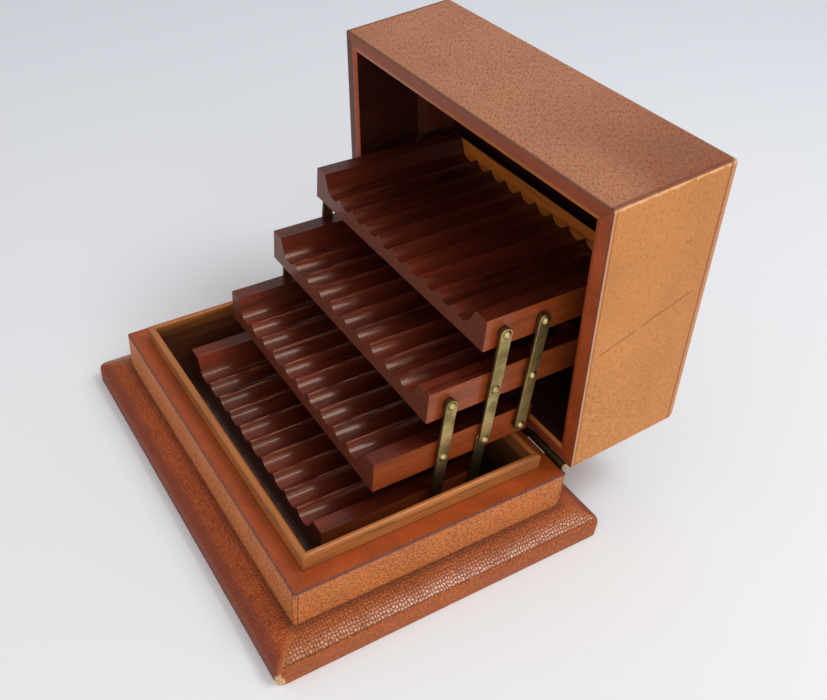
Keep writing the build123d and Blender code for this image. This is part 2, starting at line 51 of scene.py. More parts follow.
def shut_levels(name):
    """Lowest and highest level of a piece of the lid when the lid is turned back shut."""
    shut = Matrix.Rotation(LID_TURN, 3, "X")
    points = frame["nodes"][name].data.vertices
    levels = [(shut @ (point.co - HINGE)).z + HINGE.z for point in points]
    return min(levels), max(levels)


MOUTH, LID_TOP = shut_levels("lid_leather")

# The grooves of a tray lie side by side about its middle: from crest to crest, and the last crest
GROOVE_PITCH = 0.01003
LAST_CREST = GROOVE_PITCH * 4.5

# Marks on the right end of the lid, as places back and up in metres with the lid shut
SCRATCH_LOW = (0.0026, 0.0340)
SCRATCH_HIGH = (-0.0086, 0.0733)
NICK = (-0.0338, 0.0663)
NICK_RADIUS = 0.0011

# The pores all lean this way, and each is this many times as long as it is wide
PORE_LEAN = radians(149)
PORE_STRETCH = 3.4

# Shifts of the pattern on the ends and on top, so that it doesn't run on round a corner
END_SHIFT = 0.37
TOP_SHIFT = (0.91, 0.53)

# Squeezes that draw a wood's streaks out along the width or the depth of the case
ALONG_WIDTH = (0.05, 1.0, 1.0)
ALONG_DEPTH = (1.0, 0.05, 1.0)
BOARD_GRAIN = (0.08, 1.0, 1.0)
BLOCK_GRAIN = (1.0, 0.08, 1.0)
TRAY_GRAIN = (1.0, 0.06, 1.0)

# Stage, in metres: the camera stands where the photograph was taken
FLOOR_SIZE = 24.0
AIM = (0.0, 0.0, 0.05)
KEY_PLACE = (1.1, -0.42, 0.66)
OVERHEAD_PLACE = (0.33, 0.46, 0.96)
CAMERA_PLACE = (0.254185, -0.151082, 0.304004)
CAMERA_TURN = (radians(50.2324), radians(-0.1150), radians(61.6825))
CAMERA_SHIFT = (0.1363, -0.0049)


def tone(red, green, blue):
    """A colour given in display values, as the linear values that a shader takes."""
    shades = []
    for value in (red, green, blue):
        share = value / 255
        shades.append(share / 12.92 if share <= 0.04045 else ((share + 0.055) / 1.055) ** 2.4)
    return tuple(shades)


def darker(colour, share):
    """A colour brought down to this share of its brightness."""
    return tuple(share * part for part in colour)


# Shader maths

class Wire:
    """The output of a node, which takes part in sums like a number."""

    def __init__(self, finish, socket):
        self.finish = finish
        self.socket = socket

    def sum(self, operation, first, second=None):
        values = {"0": first} if second is None else {"0": first, "1": second}
        return self.finish.node("ShaderNodeMath", {"operation": operation}, values)

    def __add__(self, other):
        return self.sum("ADD", self, other)

    def __radd__(self, other):
        return self.sum("ADD", other, self)

    def __sub__(self, other):
        return self.sum("SUBTRACT", self, other)

    def __rsub__(self, other):
        return self.sum("SUBTRACT", other, self)

    def __mul__(self, other):
        return self.sum("MULTIPLY", self, other)

    def __truediv__(self, other):
        return self.sum("DIVIDE", self, other)

    def __lt__(self, other):
        return self.sum("LESS_THAN", self, other)

    def __gt__(self, other):
        return self.sum("GREATER_THAN", self, other)

    def __abs__(self):
        return self.sum("ABSOLUTE", self)

    def __pow__(self, other):
        return self.sum("POWER", self, other)

    def apart(self, pitch):
        """Distance from the nearest multiple of the pitch."""
        return self.sum("PINGPONG", self, pitch / 2)

    def least(self, other):
        return self.sum("MINIMUM", self, other)

    def most(self, other):
        return self.sum("MAXIMUM", self, other)

    def rise(self, low, high):
        """Goes smoothly from 0 at low to 1 at high, or down where low is the larger."""
        turned = low > high
        span = {"0": self, "1": high if turned else low, "2": low if turned else high}
        way = {"interpolation_type": "SMOOTHSTEP"}
        share = self.finish.node("ShaderNodeMapRange", way, span)
        return 1 - share if turned else share

    def line(self, place, reach, core=0.0001):
        """A soft line at this place: 1 within the core of its middle, 0 beyond its reach."""
        return abs(self - place).rise(reach, core)


class Finish:
    """A material under construction: a shader and the nodes that feed it."""

    def __init__(self, name, **constants):
        self.material = bpy.data.materials.new(name)
        self.material.use_nodes = True
        self.tree = self.material.node_tree
        self.shader = self.tree.nodes["Principled BSDF"]
        for socket, value in constants.items():
            self.shader.inputs[socket.replace("_", " ")].default_value = value
        self.places = {}

    def node(self, kind, settings=None, sockets=None, output=0):
        """Adds a node of this kind: its settings first, then the values or links of its sockets."""
        node = self.tree.nodes.new(kind)
        for key, value in (settings or {}).items():
            setattr(node, key, value)
        for key, value in (sockets or {}).items():
            if key.isdigit():
                target = node.inputs[int(key)]
            else:
                named = [entry for entry in node.inputs if entry.identifier == key]
                target = named[0] if named else node.inputs[key]
            if isinstance(value, Wire):
                self.tree.links.new(value.socket, target)
            elif target.type == "RGBA" and len(value) == 3:
                target.default_value = (*value, 1.0)
            else:
                target.default_value = value
        found = node.outputs[output]
        if isinstance(output, str):
            enabled = [entry for entry in node.outputs if entry.name == output and entry.enabled]
            found = enabled[0]
        return Wire(self, found)

    def coordinates(self, output="Object"):
        """Places or normals of the piece, read once."""
        if output not in self.places:
            self.places[output] = self.node("ShaderNodeTexCoord", output=output)
        return self.places[output]

    def split(self, vector):
        """The three numbers of a vector."""
        parts = self.node("ShaderNodeSeparateXYZ", sockets={"0": vector}).socket.node.outputs
        return [Wire(self, parts[n]) for n in range(3)]

    def join(self, x, y, z=0.0):
        return self.node("ShaderNodeCombineXYZ", sockets={"0": x, "1": y, "2": z})

    def blend(self, first, second, share):
        """One colour run into another by this share."""
        sockets = {"Factor_Float": share, "A_Color": first, "B_Color": second}
        return self.node("ShaderNodeMix", {"data_type": "RGBA"}, sockets, "Result")

    def painted(self, colour, *layers):
        """A colour with others laid over it in turn, each by its share."""
        for cover, share in layers:
            colour = self.blend(colour, cover, share)
        return colour

    def shade(self, colour, share):
        """A colour times a number."""
        sockets = {"0": colour, "Scale": share}
        return self.node("ShaderNodeVectorMath", {"operation": "SCALE"}, sockets)

    def noise(self, vector, scale, detail=2.0, roughness=0.5, distortion=0.0):
        sockets = {
            "Vector": vector,
            "Scale": scale,
            "Detail": detail,
            "Roughness": roughness,
            "Distortion": distortion,
        }
        return self.node("ShaderNodeTexNoise", None, sockets)

    def moved(self, vector, shift):
        """The same places, moved by this much."""
        return self.node("ShaderNodeVectorMath", {"operation": "ADD"}, {"0": vector, "1": shift})

    def stretched(self, vector, factors):
        """The same places, squeezed by these factors, so that a pattern on them is drawn out."""
        sockets = {"0": vector, "1": factors}
        return self.node("ShaderNodeVectorMath", {"operation": "MULTIPLY"}, sockets)

    def slanted(self, vector, angle, squeeze):
        """Places turned by this angle and squeezed along it, for marks that all lean one way."""
        sockets = {"Vector": vector, "Rotation": (0, 0, angle), "Scale": (squeeze, 1, 1)}
        return self.node("ShaderNodeMapping", {"vector_type": "TEXTURE"}, sockets)

    def spots(self, vector, scale, randomness=1.0):
        """Distance to the nearest point of a scatter, and random numbers for each point."""
        sockets = {"Vector": vector, "Scale": scale, "Randomness": randomness}
        distance = self.node("ShaderNodeTexVoronoi", {"voronoi_dimensions": "2D"}, sockets)
        chance = self.split(Wire(self, distance.socket.node.outputs["Color"]))
        return distance, chance

    def cells(self, vector, scale, randomness=1.0):
        """Distance to the border of the nearest cell."""
        sockets = {"Vector": vector, "Scale": scale, "Randomness": randomness}
        kind = {"voronoi_dimensions": "2D", "feature": "DISTANCE_TO_EDGE"}
        return self.node("ShaderNodeTexVoronoi", kind, sockets)

    def relief(self, height, depth):
        """A bump from a height between 0 and 1 that stands this many metres high."""
        return self.node("ShaderNodeBump", None, {"Distance": depth, "Height": height})

    def feed(self, **wires):
        """Links the wires to the shader and gives the material."""
        for socket, wire in wires.items():
            self.tree.links.new(wire.socket, self.shader.inputs[socket.replace("_", " ")])
        return self.material


def assign(material, *names):
    """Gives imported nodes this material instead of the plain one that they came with."""
    for name in names:
        for slot in frame["nodes"][name].material_slots:
            slot.material = material


def upright(finish, turned):
    """Place and normal on a piece, turned back upright where the piece sits on the open lid."""
    place = finish.coordinates()
    normal = finish.coordinates("Normal")
    if turned:
        shift = HINGE - Matrix.Rotation(LID_TURN, 3, "X") @ HINGE
        place = finish.node(
            "ShaderNodeMapping",
            {"vector_type": "POINT"},
            {"Vector": place, "Location": shift, "Rotation": (LID_TURN, 0, 0)},
        )
        normal = finish.node(
            "ShaderNodeMapping",
            {"vector_type": "VECTOR"},
            {"Vector": normal, "Rotation": (LID_TURN, 0, 0)},
        )
    return place, normal


def flat_places(finish, turned):
    """Coordinates that lie flat on each side of a box, in metres, and which way a side faces."""
    place, normal = upright(finish, turned)
    x, y, z = finish.split(place)
    normal_x, normal_y, normal_z = [abs(part) for part in finish.split(normal)]
    faces_up = normal_z > normal_x.most(normal_y)
    faces_side = (normal_x > normal_y) * (1 - faces_up)
    along = x + (y - x) * faces_side + faces_side * END_SHIFT + faces_up * TOP_SHIFT[0]
    across = z + (y - z) * faces_up + faces_up * TOP_SHIFT[1]
    return finish.join(along, across), (x, y, z), faces_up, faces_side


def inset(corner, x, y):
    """How far a place lies inside the ends, and inside the front or back, of a box."""
    return corner.x - abs(x), corner.y - abs(y)


# Sizes and colours that a user would change

def colour_setting(name, description, red, green, blue):
    """A colour that a user can change, given in display values."""
    return FloatVectorProperty(
        name=name,
        description=description,
        subtype="COLOR",
        size=3,
        min=0.0,
        max=1.0,
        default=tone(red, green, blue),
    )


def length_setting(name, description, default):
    """A length in metres that a user can change."""
    return FloatProperty(
        name=name, description=description, default=default, min=0.0002, max=0.01, unit="LENGTH"
    )


class LeatherLook(bpy.types.PropertyGroup):
    """Grained and smooth leather of the case."""

    tan: colour_setting("Tan", "Bleached ends of the lid", 206, 134, 70)
    brown: colour_setting("Brown", "Long sides of the lid", 170, 112, 80)
    saddle: colour_setting("Saddle", "Netted leather of the box", 199, 117, 62)
    foot: colour_setting("Foot", "Pebbled leather of the foot", 176, 92, 42)
    foot_front: colour_setting("Foot front", "Darker front and back of the foot", 170, 80, 34)
    rim: colour_setting("Rim", "Smooth leather on the rim of the box", 162, 70, 22)
    mouth: colour_setting("Mouth", "Smooth leather round the mouth of the lid", 160, 70, 32)
    umber: colour_setting("Umber", "Creases, scratches and the net of the grain", 116, 60, 34)
    umber_deep: colour_setting("Deep umber", "Pores and seams", 74, 38, 24)
    plum: colour_setting("Plum", "Burnished line along the rims", 88, 54, 58)
    plum_red: colour_setting("Plum red", "Outer edge of the foot", 118, 52, 38)
    pink: colour_setting("Pink", "Cut and rubbed leather", 206, 146, 116)
    # Worn is also laid on the shining pebbles of the foot as a painted highlight
    worn: colour_setting("Worn", "Leather worn through to its pale core", 236, 190, 140)
    pore_spacing: length_setting("Pore spacing", "Distance between the slanted pores", 0.0012)
    grain_spacing: length_setting("Grain spacing", "Size of the net's cells on the box", 0.0011)
    pebble_spacing: length_setting("Pebble spacing", "Size of the pebbles on the foot", 0.0013)


class WoodLook(bpy.types.PropertyGroup):
    """Woods of the trays, the liner and the inside of the lid."""

    tray: colour_setting("Tray", "Lighter streaks of the polished trays", 98, 34, 18)
    tray_deep: colour_setting("Deep tray", "Dark ground of the polished trays", 56, 17, 9)
    # Colour of the painted highlights along the ridges between the grooves
    crest: colour_setting("Crest", "Rubbed crests between the grooves", 206, 138, 104)
    end: colour_setting("Tray end", "Trays' ends beside the links", 144, 64, 27)
    front: colour_setting("Tray front", "Cut fronts of the trays", 98, 44, 28)
    strip: colour_setting("Strip", "Golden strip across the back of the top tray", 216, 118, 42)
    liner: colour_setting("Liner", "Golden brown of the liner boards", 180, 110, 54)
    inside: colour_setting("Inside", "Stained wood inside the lid and the box", 62, 28, 22)
    block: colour_setting("Block", "Wooden blocks inside the lid", 104, 50, 30)


class BrassLook(bpy.types.PropertyGroup):
    """Brass of the links, rivets, plates and hinges."""

    metal: colour_setting("Metal", "Clean brass", 202, 180, 122)
    tarnish: colour_setting("Tarnish", "Dull film on old brass", 130, 114, 70)
    edge: colour_setting("Edge", "Nearly black film on the edges and in the corners", 64, 56, 34)


class StageLook(bpy.types.PropertyGroup):
    """Floor, lamps and camera."""

    floor: colour_setting("Floor", "Pale floor near the camera", 238, 239, 239)
    floor_far: colour_setting("Far floor", "Floor further away", 234, 236, 241)
    key_power: FloatProperty(
        name="Key lamp",
        description="Power of the soft lamp on the right",
        default=6.6,
        min=0.0,
        unit="POWER",
    )
    overhead_power: FloatProperty(
        name="Overhead",
        description="Power of the lamp above the case",
        default=4.0,
        min=0.0,
        unit="POWER",
    )
    ambient: FloatProperty(
        name="Ambient", description="Strength of the light from all round", default=0.58, min=0.0
    )
    backdrop: FloatProperty(
        name="Backdrop", description="Brightness of what lies beyond the floor", default=0.72, min=0.0
    )
    focal_length: FloatProperty(
        name="Lens", description="Focal length of the camera", default=41.993, min=1.0, unit="CAMERA"
    )


# Leather

def dashes(finish, flat, spacing):
    """The short dark pores of pigskin, which all lean the same way: 1 in a pore, 0 outside."""
    leaning = finish.slanted(flat, PORE_LEAN, PORE_STRETCH)
    distance, chance = finish.spots(leaning, 1 / spacing, 0.85)
    size = chance[0] * 0.12 + 0.11
    return (1 - (distance / size).rise(0.5, 1.1)) * (chance[1] > 0.12)


def ragged(finish, flat, reach, scale=500.0):
    """Turns an even border into a worn one: 1 well inside the reach, torn where it runs out."""
    return (finish.noise(flat, scale, 3.0, 0.65) * 0.9 + reach).rise(0.95, 1.1)


def scratch_line(finish, y, z):
    """The long thin scratch across the lid's right end, from low at the back to high in front."""
    run = (z - SCRATCH_LOW[1]) / (SCRATCH_HIGH[1] - SCRATCH_LOW[1])
    middle = run * (SCRATCH_HIGH[0] - SCRATCH_LOW[0]) + SCRATCH_LOW[0]
    wobble = finish.noise(finish.join(y, z), 120.0, 2.0) - 0.5
    inside = (run > 0.0) * (run < 1.0)
    broken = finish.noise(finish.join(y, z, 0.2), 260.0, 2.0).rise(0.28, 0.42)
    return (y + wobble * 0.0012).line(middle, 0.0005) * inside * broken


def nick(y, z):
    """The small hooked mark near the front of the lid's right end."""
    back, up = y - NICK[0], z - NICK[1]
    reach = (back * back + up * up) ** 0.5
    return reach.line(NICK_RADIUS, 0.0004) * (back > -0.0005) * 0.7


def faded_leather(name, look):
    """Leather of the lid: its ends bleached tan, its long sides browner and full of pores."""
    finish = Finish(name, Specular_IOR_Level=0.25)
    flat, (x, y, z), faces_up, faces_side = flat_places(finish, True)
    side, depth = inset(BOX, x, y)
    top = LID_TOP - z
    mouth = z - MOUTH
    right = x.rise(0.0, BOX.x)
    front = y < 0.0
    long_side = 1 - faces_side

    # Ground: clouded and speckled, deeper and stained on the long sides
    clouds = finish.noise(flat, 34.0, 3.0, 0.5)
    mottle = finish.noise(flat, 420.0, 3.0, 0.6)
    grit = finish.noise(flat, 1500.0, 2.0, 0.6)
    specks = finish.noise(flat, 900.0, 2.0, 0.6).rise(0.34, 0.66)
    stain = finish.noise(flat, 26.0, 3.0, 0.6, 0.8).rise(0.48, 0.72)
    colour = finish.painted(
        look.brown,
        (look.tan, faces_side),
        (look.umber, long_side * right * mouth.rise(0.006, 0.03) * 0.6),
        (look.mouth, long_side * stain * (0.12 + right * 0.3)),
    )
    light = clouds * 0.36 + specks * (0.12 + long_side * 0.2) + grit * 0.2 + 0.57
    colour = finish.shade(colour, light)

    # Pores: large on the long sides, fine and densest low at the back on the ends
    pore = dashes(finish, flat, look.pore_spacing)
    fine = dashes(finish, finish.stretched(flat, (1.9, 1.9, 1.0)), look.pore_spacing)
    low = faces_side * y.rise(-0.025, 0.035) * (0.5 + mouth.rise(0.06, 0.0) * 0.5)
    colour = finish.painted(
        colour,
        (look.umber, pore * (faces_side * 0.16 + long_side * (0.7 - right * 0.3))),
        (look.umber, fine * (low * 0.75 + long_side * 0.14 + 0.06)),
    )
    colour = finish.shade(colour, 1 + (mottle - 0.5) * low * 0.9)

    # Edges: torn and pale in front, worn at the corners, creased and pink under the top
    pale = ragged(finish, flat, depth.rise(0.0034, 0.0004) * 0.66, 300.0) * faces_side * front
    shadow = side.line(0.0013, 0.0013, 0.0002) * front * long_side * (1 - faces_up)
    tip = ragged(finish, flat, (side + depth + top).rise(0.008, 0.002) * 0.75)
    crease = top.line(0.0041, 0.0007, 0.0002) * faces_side
    scratch = scratch_line(finish, y, z).most(nick(y, z)) * faces_side * (x > 0.0)
    colour = finish.painted(
        colour,
        (look.worn, pale * 0.6),
        (look.umber, shadow * 0.75),
        (look.worn, tip * 0.6),
        (look.pink, top.rise(0.0052, 0.0030) * mottle * faces_side * 0.7),
        (look.plum_red, crease * 0.6),
        (look.plum_red, top.rise(0.0021, 0.0012) * faces_side * 0.6),
        (look.pink, mouth.rise(0.0009, 0.0006) * faces_side * 0.8),
        (look.umber, mouth.line(0.0013, 0.0005) * faces_side * 0.5),
        (look.umber_deep, mouth.rise(0.0009, 0.0005) * long_side * 0.6),
        (look.umber, scratch * 0.75),
    )
    height = mottle * 0.5 + grit * 0.2 - pore * 0.6 - scratch * 0.5 - crease * 0.4
    bump = finish.relief(height, 0.0002)
    roughness = 0.46 + mottle * 0.14 - pale * 0.08
    return finish.feed(Base_Color=colour, Roughness=roughness, Normal=bump)


def netted_leather(name, look):
    """Leather of the box: orange-brown with a fine net of grain, dark along the rim."""
    finish = Finish(name, Specular_IOR_Level=0.3)
    flat, (x, y, z) = flat_places(finish, False)[:2]
    side, depth = inset(BOX, x, y)
    corner = side + depth
    above_foot = z - (FOOT.z - 0.0001)
    clouds = finish.noise(flat, 60.0, 3.0, 0.55)
    mottle = finish.noise(flat, 620.0, 3.0, 0.7)
    specks = finish.noise(flat, 850.0, 3.0, 0.6).rise(0.36, 0.64)
    net = finish.cells(flat, 1 / look.grain_spacing, 0.9).rise(0.0, 0.25)
    strokes = dashes(finish, flat, look.grain_spacing)
    seam = corner.line(0.0015, 0.0004)
    colour = finish.painted(
        finish.shade(look.saddle, clouds * 0.5 + mottle * 0.5 + specks * 0.62 + 0.22),
        (look.umber, (1 - net) * 0.3 + strokes * 0.55),
        (look.plum, (BOX.z - z).rise(0.0008, 0.0003) * (0.5 + mottle * 0.6)),
        (look.umber_deep, seam * 0.5),
        (look.plum, corner.rise(0.0006, 0.0002) * mottle.rise(0.35, 0.6) * 0.7),
        (look.umber_deep, above_foot.rise(0.0012, 0.0001) * 0.6),
    )
    bump = finish.relief(net * 0.4 + mottle * 0.3 + specks * 0.3 - seam * 0.5, 0.0002)
    return finish.feed(Base_Color=colour, Roughness=0.42 + mottle * 0.16, Normal=bump)


def pebbled_leather(name, look):
    """Leather of the foot: glossy pebbles, a tooled line and a plum-dark outer edge."""
    finish = Finish(name, Specular_IOR_Level=0.25, Coat_Roughness=0.2)
    flat, (x, y, z) = flat_places(finish, False)[:2]
    side, depth = inset(FOOT, x, y)
    rim = side.least(depth)
    long_side = depth < side

    # Ground, and the pebbles on it with the gaps between them
    clouds = finish.noise(flat, 50.0, 3.0, 0.55)
    mottle = finish.noise(flat, 600.0, 3.0, 0.7)
    specks = finish.noise(flat, 800.0, 3.0, 0.6).rise(0.36, 0.64)
    blots = finish.noise(flat, 330.0, 3.0, 0.7, 0.5).rise(0.52, 0.7)
    bent = finish.moved(flat, finish.join(mottle * 0.0005, clouds * 0.0008))
    pebbles = finish.cells(bent, 1 / look.pebble_spacing, 0.6).rise(0.02, 0.34)
    gaps = 1 - pebbles
    light = clouds * 0.7 + mottle * 0.5 + specks * 0.46 + 0.18 + long_side * 0.04
    colour = finish.shade(finish.blend(look.foot, look.foot_front, long_side), light)

    # Gloss and a painted highlight along the middle of the ends' slopes, lines along the edges, wear
    # at the near corners
    band = side.rise(0.0082, 0.0040) * side.rise(0.0008, 0.0018)
    outer = side.rise(0.0052, 0.0024) * 0.5 + 0.5
    shine = pebbles * (1 - long_side) * band * clouds.rise(0.25, 0.55) * outer
    tooled = rim.line(0.0015, 0.0005) * (1 - long_side * 0.85)
    near = (x > 0.0) * (0.5 + (y < 0.0) * 0.5)
    worn = ragged(finish, flat, (side + depth + z * 0.3).rise(0.0052, 0.0022) * near)
    burnish = (0.16 + long_side * 0.6) * (0.4 + mottle * 1.1)
    colour = finish.painted(
        colour,
        (look.plum_red, rim.rise(0.0062, 0.0018) * burnish),
        (look.umber_deep, gaps * (0.4 - long_side * 0.32) * rim.rise(0.001, 0.003)),
        (look.plum_red, blots * (0.15 + long_side * 0.35)),
        # The pale worn colour on the shining pebbles is a painted highlight
        (look.worn, shine * mottle.rise(0.38, 0.6) * 0.6),
        (look.umber_deep, tooled * 0.45),
        (look.saddle, side.line(depth, 0.0022, 0.0003) * 0.4),
        (look.worn, worn * (0.5 + specks * 0.5)),
        (look.umber_deep, (FOOT.z - z).rise(0.0007, 0.0001) * 0.5),
    )
    bump = finish.relief(pebbles * 0.8 + mottle * 0.3 - tooled * 0.7, 0.0003)
    roughness = 0.38 + gaps * 0.2 + mottle * 0.1
    return finish.feed(Base_Color=colour, Roughness=roughness, Coat_Weight=shine, Normal=bump)


def smooth_leather(name, look, turned, light, painted_light):
    """Calf on the rims: soft clouds, a plum-dark line outside and, on the lid, painted shade with a
    paler inner edge as painted highlight.
    """
    finish = Finish(name, Specular_IOR_Level=0.3, Coat_Weight=0.05, Coat_Roughness=0.25)
    flat, (x, y, _) = flat_places(finish, turned)[:2]
    side, depth = inset(BOX, x, y)
    rim = side.least(depth)
    long_side = depth < side
    clouds = finish.noise(flat, 70.0, 4.0, 0.6)
    creases = finish.noise(flat, 700.0, 2.0, 0.5)
    stain = finish.noise(flat, 110.0, 4.0, 0.65, 0.4).rise(0.5, 0.72)
    shaded = (x < 0.0) * (side < depth) * rim.rise(0.0050, 0.0040)
    line = rim.rise(0.0011, 0.0006) * (0.55 + creases * 0.6)
    mitre = side.line(depth, 0.0004)
    # On the lid's mouth the long sides and the left side are darkened as painted shade and the inner
    # edge of the long sides is lightened as a painted highlight; the box's rim gets none of these
    colour = finish.painted(
        finish.shade(light, clouds * 0.9 + creases * 0.4 + 0.35),
        (look.umber, stain * 0.4 + long_side * 0.14),
        (look.umber_deep, long_side * painted_light * 0.5),
        (look.umber_deep, shaded * painted_light * 1.9),
        (look.plum, line * 0.8),
        (look.saddle, rim.rise(0.0050, 0.0058) * long_side * painted_light * 1.5),
        (look.umber_deep, mitre * 0.3),
    )
    bump = finish.relief(creases * 0.4 - line * 0.6 - mitre * 0.4, 0.0001)
    roughness = 0.36 + clouds * 0.12 + line * 0.1
    return finish.feed(Base_Color=colour, Roughness=roughness, Normal=bump)


# Wood, brass and felt

def streaked_wood(name, light, dark, grain, turned=False, gloss=0.3, coat=0.35, seed=0.0):
    """Varnished wood with streaks drawn out along one axis: grain holds the squeeze of each."""
    finish = Finish(
        name,
        Specular_IOR_Level=0.45,
        Specular_Tint=(1.0, 0.62, 0.42, 1.0),
        Coat_Weight=coat,
        Coat_Roughness=0.1,
    )
    place = finish.moved(upright(finish, turned)[0], (seed, seed * 1.7, seed * 0.6))
    drawn = finish.stretched(place, grain)
    bands = finish.noise(drawn, 60.0, 4.0, 0.6, 0.6)
    lines = finish.noise(drawn, 420.0, 3.0, 0.7)
    threads = finish.noise(drawn, 1500.0, 2.0, 0.6)
    clouds = finish.noise(place, 25.0, 2.0)
    streaks = (bands * 0.6 + lines * 0.25 + clouds * 0.3).rise(0.4, 0.75)
    vessels = lines.rise(0.44, 0.36)
    colour = finish.painted(dark, (light, streaks), (darker(dark, 0.4), vessels * 0.5))
    bump = finish.relief(lines * 0.4 + threads * 0.7 + bands * 0.2, 0.00022)
    roughness = gloss - 0.08 + threads * 0.2
    return finish, colour, roughness, bump, (bands, lines, threads)


def plain_wood(*parts, **values):
    """Varnished wood with nothing added."""
    finish, colour, roughness, bump, _ = streaked_wood(*parts, **values)
    return finish.feed(Base_Color=colour, Roughness=roughness, Normal=bump)


def tray_wood(name, look, seed, front_edge, tray_light):
    """Polished mahogany: lighter brown in front, partly wear and partly painted light, darker nearly
    black behind as painted shade, painted highlights along the ridges, orange-brown on the ends.
    """
    finish, colour, roughness, bump, (bands, lines, threads) = streaked_wood(
        name, look.tray, look.tray_deep, TRAY_GRAIN, gloss=0.28, coat=0.26, seed=seed
    )
    place = finish.coordinates()
    x, y, _ = finish.split(place)
    normal_x, normal_y, _ = finish.split(finish.coordinates("Normal"))
    # Lighter towards the front edge and darker behind: partly wear, partly painted light in front and
    # painted shade behind, where the tray above or the lid covers it
    brightened = (y - front_edge + bands * 0.012).rise(0.036, 0.004)
    # Painted highlights along the ridges between the grooves, brightest in front and weaker on the
    # higher trays
    crests = abs(x).apart(GROOVE_PITCH).rise(0.0007, 0.0001) * (abs(x) < LAST_CREST)
    ends = abs(normal_x).rise(0.93, 0.98)
    fronts = abs(normal_y).rise(0.93, 0.98)
    pores = finish.noise(place, 1600.0, 2.0).rise(0.5, 0.62)
    end_colour = finish.shade(look.end, 1.15 - lines.rise(0.4, 0.7) * 0.35 - bands * 0.2)
    front_colour = finish.shade(look.front, 1.1 - pores * 0.35)
    colour = finish.painted(
        finish.shade(colour, brightened * tray_light + 0.65),
        (look.crest, crests * threads.rise(0.42, 0.6) * (brightened * 0.7 + 0.2) * (tray_light - 0.5)),
        (end_colour, ends),
        (front_colour, fronts),
    )
    roughness = roughness + ends * 0.12 + fronts * 0.16
    return finish.feed(Base_Color=colour, Roughness=roughness, Normal=bump)


def liner_wood(name, look, grain, seed):
    """Golden boards, a little brighter along the top edge as a painted highlight, darker down the
    inner faces as painted shade, and darker at the foot.
    """
    finish, colour, roughness, bump, _ = streaked_wood(
        name, look.liner, darker(look.liner, 0.5), grain, gloss=0.32, coat=0.3, seed=seed
    )
    x, y, z = finish.split(finish.coordinates())
    low, high = LINER
    inside = (abs(x) < low.x + 0.0008) * (abs(y) < BOX.y - (BOX.x - low.x) - 0.0008)
    # Painted shade down the inner faces and a painted highlight along the top edge, besides the
    # darker foot
    colour = finish.painted(
        colour,
        (look.inside, inside * z.rise(high.z - 0.001, high.z - 0.006) * 0.5),
        (look.strip, z.rise(high.z - 0.0012, high.z - 0.0002) * 0.2),
        (look.inside, z.rise(RIM.z + 0.0012, RIM.z + 0.0001) * 0.7),
    )
    return finish.feed(Base_Color=colour, Roughness=roughness, Normal=bump)


def aged_brass(name, look, edges, brightened=0.0):
    """Old brass: smooth and pale where rubbed, olive where the film lies, dark on its edges."""
    finish = Finish(name, Metallic=1.0)
    place = finish.coordinates()
    normal_x = finish.split(finish.coordinates("Normal"))[0]
    film = finish.noise(place, 120.0, 3.0, 0.5)
    grit = finish.noise(place, 1800.0, 2.0)
    scratches = finish.noise(finish.stretched(place, (1.0, 0.3, 0.06)), 2600.0, 2.0)
    share = (film * 0.8 + grit * 0.2 + brightened).rise(0.34, 0.68)
    colour = finish.painted(
        look.tarnish, (look.metal, share), (look.edge, abs(normal_x).rise(0.85, 0.5) * edges)
    )
    bump = finish.relief(scratches * 0.6 + grit * 0.4, 0.00002)
    roughness = 0.42 - share * 0.1 + scratches * 0.08
    return finish.feed(Base_Color=colour, Roughness=roughness, Normal=bump)


def felt(name):
    """Short green-grey felt under the foot."""
    finish = Finish(name, Roughness=0.95, Sheen_Weight=0.4, Sheen_Roughness=0.5)
    fibres = finish.noise(finish.coordinates(), 2400.0, 3.0, 0.7)
    colour = finish.blend(tone(44, 52, 40), tone(74, 84, 64), fibres.rise(0.35, 0.65))
    return finish.feed(Base_Color=colour, Normal=finish.relief(fibres, 0.0002))


# Pieces

class CASE_OT_dress_foot(bpy.types.Operator):
    """Covers the foot in glossy pebbled leather and puts felt under it"""

    bl_idname = "case.dress_foot"
    bl_label = "Foot"

    def execute(self, context):
        leather = context.scene.case_leather
        wood = context.scene.case_wood
        assign(pebbled_leather("foot_leather", leather), "plinth_leather")
        assign(felt("foot_felt"), "base_felt")
        board = plain_wood("board_wood", wood.block, wood.inside, BOARD_GRAIN)
        assign(board, "plinth_board")
        return {"FINISHED"}


class CASE_OT_dress_box(bpy.types.Operator):
    """Covers the box in netted leather, with smooth leather on its rim and a golden liner"""

    bl_idname = "case.dress_box"
    bl_label = "Box"

    def execute(self, context):
        leather = context.scene.case_leather
        wood = context.scene.case_wood
        assign(netted_leather("box_leather", leather), "base_leather")
        assign(smooth_leather("box_rim", leather, False, leather.rim, 0.0), "base_rim_band")
        inside = plain_wood("box_wood", wood.inside, darker(wood.inside, 0.5), BOARD_GRAIN)
        assign(inside, "base_carcass", "base_floor")
        assign(liner_wood("liner_long", wood, ALONG_WIDTH, 0.0), "liner_front", "liner_back")
        assign(liner_wood("liner_short", wood, ALONG_DEPTH, 0.3), "liner_left", "liner_right")
        return {"FINISHED"}


